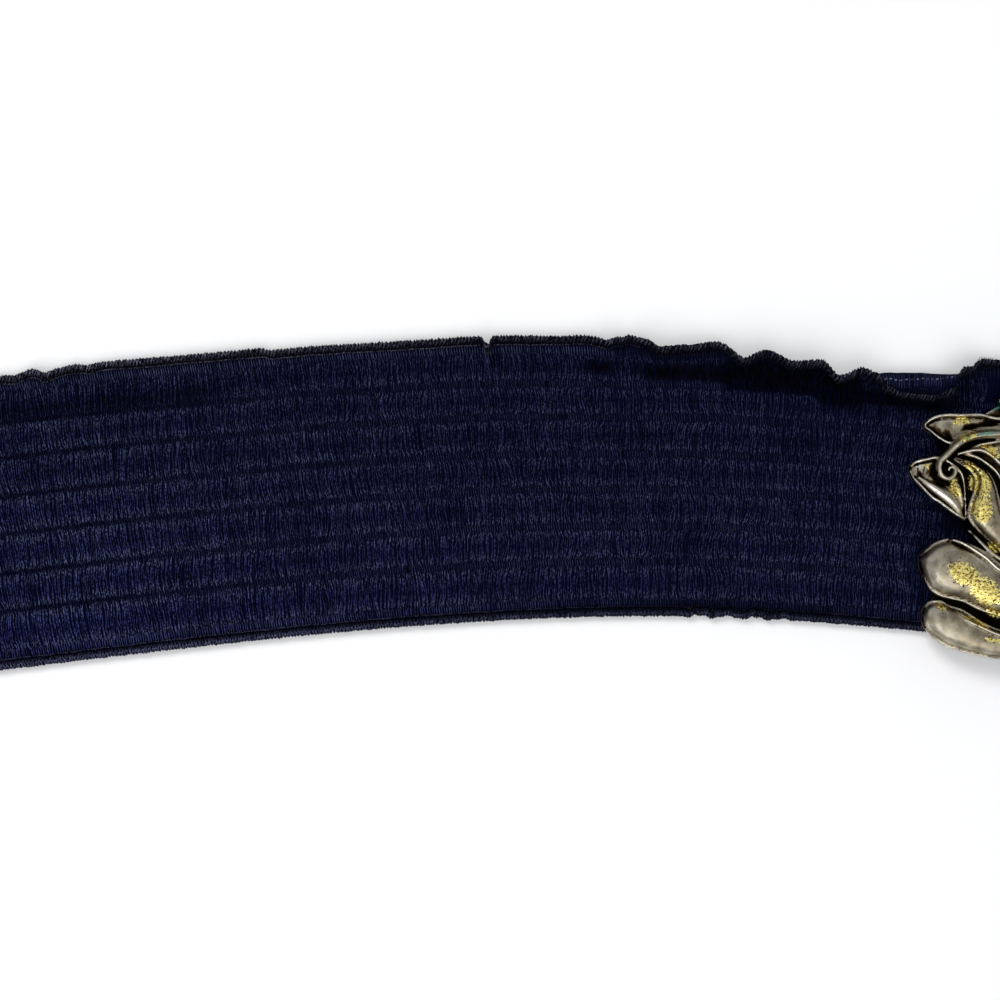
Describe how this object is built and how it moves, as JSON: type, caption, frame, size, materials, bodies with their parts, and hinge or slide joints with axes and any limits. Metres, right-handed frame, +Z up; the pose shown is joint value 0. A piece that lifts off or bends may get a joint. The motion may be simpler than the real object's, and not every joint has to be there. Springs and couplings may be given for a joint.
{
  "type": "elastic cinch belt",
  "caption": "Wide channelled stretch-elastic waist belt, laid open, with a cast leaf-and-petal clasp half at each end that fasten by a hook and keeper.",
  "frame": {"origin": "centre of the footprint, on the surface that the belt lies on", "axes": "+X along the belt towards the hook, +Y across it towards the ruffled upper edge, +Z up out of its face"},
  "size_m": [0.6976, 0.1122, 0.0122],
  "materials": {
    "stretch_elastic": "very dark navy shirred elastic with silky floats across puffed channels",
    "overlock_thread": "near-black navy overlock thread wrapped round a cord",
    "antique_casting": "cast pewter-coloured zinc alloy, gold-washed in patches, dark oxide in the recesses",
    "plated_steel": "nickel-plated steel, satin"
  },
  "bodies": {
    "root": {"elastic_band": "stretch_elastic", "upper_edge_cord": "overlock_thread", "lower_edge_cord": "overlock_thread", "hook_casting": "antique_casting", "catch_casting": "antique_casting", "hook_side_bar": "plated_steel", "catch_side_bar": "plated_steel", "hook_plate": "plated_steel", "catch_plate": "plated_steel"}
  },
  "joints": []
}
